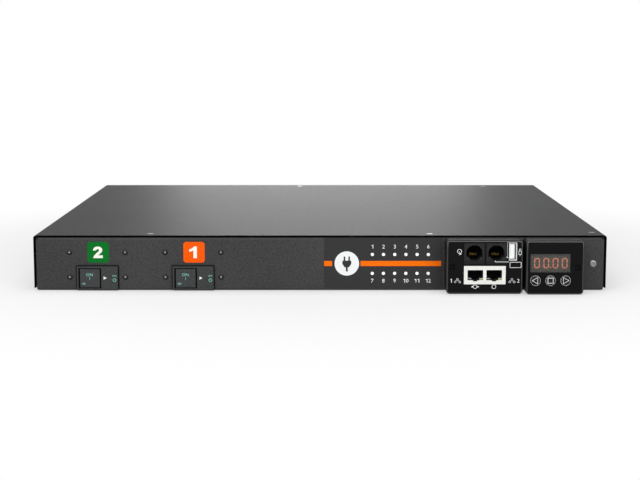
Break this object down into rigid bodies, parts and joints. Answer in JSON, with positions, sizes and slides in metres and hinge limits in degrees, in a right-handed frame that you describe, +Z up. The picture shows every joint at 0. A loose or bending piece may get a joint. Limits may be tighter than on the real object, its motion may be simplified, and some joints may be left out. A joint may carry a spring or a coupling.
{
  "type": "rack power distribution unit",
  "caption": "Flat rack-mount power distribution unit with breakers, status lamps, a network module and a digit display on the front, and rows of outlets at the back.",
  "frame": {"origin": "centre of the flat underside of the housing", "axes": "+X right as seen from the front, +Y to the back, +Z up; the front faces -Y"},
  "size_m": [0.44, 0.43, 0.0427],
  "materials": {
    "powder_coat": "fine textured black powder coat",
    "zinc_steel": "zinc plated",
    "black_steel": "black",
    "grey_steel": "dark grey, satin",
    "bright_steel": "bright nickel",
    "black_moulding": "fine moulded grain",
    "breaker_moulding": "fine moulded grain",
    "label_film": "satin printed film",
    "overlay_film": "satin printed film",
    "green_film": "satin printed film",
    "orange_film": "satin printed film",
    "lamp_lens": "frosted clear",
    "led": "clear resin",
    "circuit_board": "solder mask",
    "white_moulding": "moulded",
    "link_light": "tinted lens",
    "brass": "bright",
    "display_glass": "smoked window",
    "digit_face": "grey face",
    "key_moulding": "satin",
    "outlet_moulding": "fine moulded grain",
    "gland_moulding": "polyamide",
    "rubber": "matte",
    "relay_moulding": "moulded",
    "supply_moulding": "potted",
    "ribbon": "grey jacket"
  },
  "bodies": {
    "chassis": {"base_tray": "powder_coat", "top_cover": "powder_coat", "cover_screws": "black_steel", "breaker_1_bracket": "zinc_steel", "breaker_2_bracket": "zinc_steel", "breaker_1_case": "black_moulding", "breaker_2_case": "black_moulding", "breaker_1_bezel": "breaker_moulding", "breaker_2_bezel": "breaker_moulding", "breaker_terminals": "zinc_steel", "bracket_rivets": "black_steel", "badge_1": "orange_film", "badge_2": "green_film", "status_overlay": "overlay_film", "light_pipe_upper": "lamp_lens", "light_pipe_lower": "lamp_lens", "status_leds": "led", "status_board": "circuit_board", "side_screw": "grey_steel", "module_cradle": "zinc_steel", "comm_housing": "black_moulding", "comm_label": "label_film", "comm_board": "circuit_board", "sensor_jack_1": "black_moulding", "sensor_jack_2": "black_moulding", "sensor_contacts": "brass", "network_jack": "white_moulding", "network_lights": "link_light", "network_contacts": "brass", "usb_shell": "bright_steel", "usb_tongue": "white_moulding", "display_housing": "black_moulding", "display_label": "label_film", "display_glass": "display_glass", "digit_block": "digit_face", "display_board": "circuit_board", "key_switches": "black_moulding", "outlet_bank_1": "outlet_moulding", "outlet_bank_2": "outlet_moulding", "outlet_contacts_1": "brass", "outlet_contacts_2": "brass", "busbars": "brass", "gland_body": "gland_moulding", "gland_cap": "gland_moulding", "gland_seal": "rubber", "gland_locknut": "gland_moulding", "earth_stud": "brass", "earth_nut": "brass", "relay_board": "circuit_board", "board_standoffs": "zinc_steel", "relays": "relay_moulding", "current_sensors": "relay_moulding", "power_module": "supply_moulding", "terminal_block": "supply_moulding", "ribbon_cable": "ribbon"},
    "rocker_1": {"breaker_1_rocker": "breaker_moulding"},
    "rocker_2": {"breaker_2_rocker": "breaker_moulding"},
    "left_key": {"key_left": "key_moulding"},
    "select_key": {"key_select": "key_moulding"},
    "right_key": {"key_right": "key_moulding"}
  },
  "joints": [
    {"name": "rocker_1_swing", "type": "hinge", "parent": "chassis", "child": "rocker_1", "pos_m": [-0.0964, -0.19125, 0.00985], "axis": [0, 0, 1], "range_deg": [0, 14]},
    {"name": "rocker_2_swing", "type": "hinge", "parent": "chassis", "child": "rocker_2", "pos_m": [-0.17, -0.19125, 0.00985], "axis": [0, 0, 1], "range_deg": [0, 14]},
    {"name": "left_key_press", "type": "slide", "parent": "chassis", "child": "left_key", "axis": [0, 1, 0], "range_m": [0, 0.0004], "stiffness_N_per_m": 500},
    {"name": "select_key_press", "type": "slide", "parent": "chassis", "child": "select_key", "axis": [0, 1, 0], "range_m": [0, 0.0004], "stiffness_N_per_m": 500},
    {"name": "right_key_press", "type": "slide", "parent": "chassis", "child": "right_key", "axis": [0, 1, 0], "range_m": [0, 0.0004], "stiffness_N_per_m": 500}
  ]
}
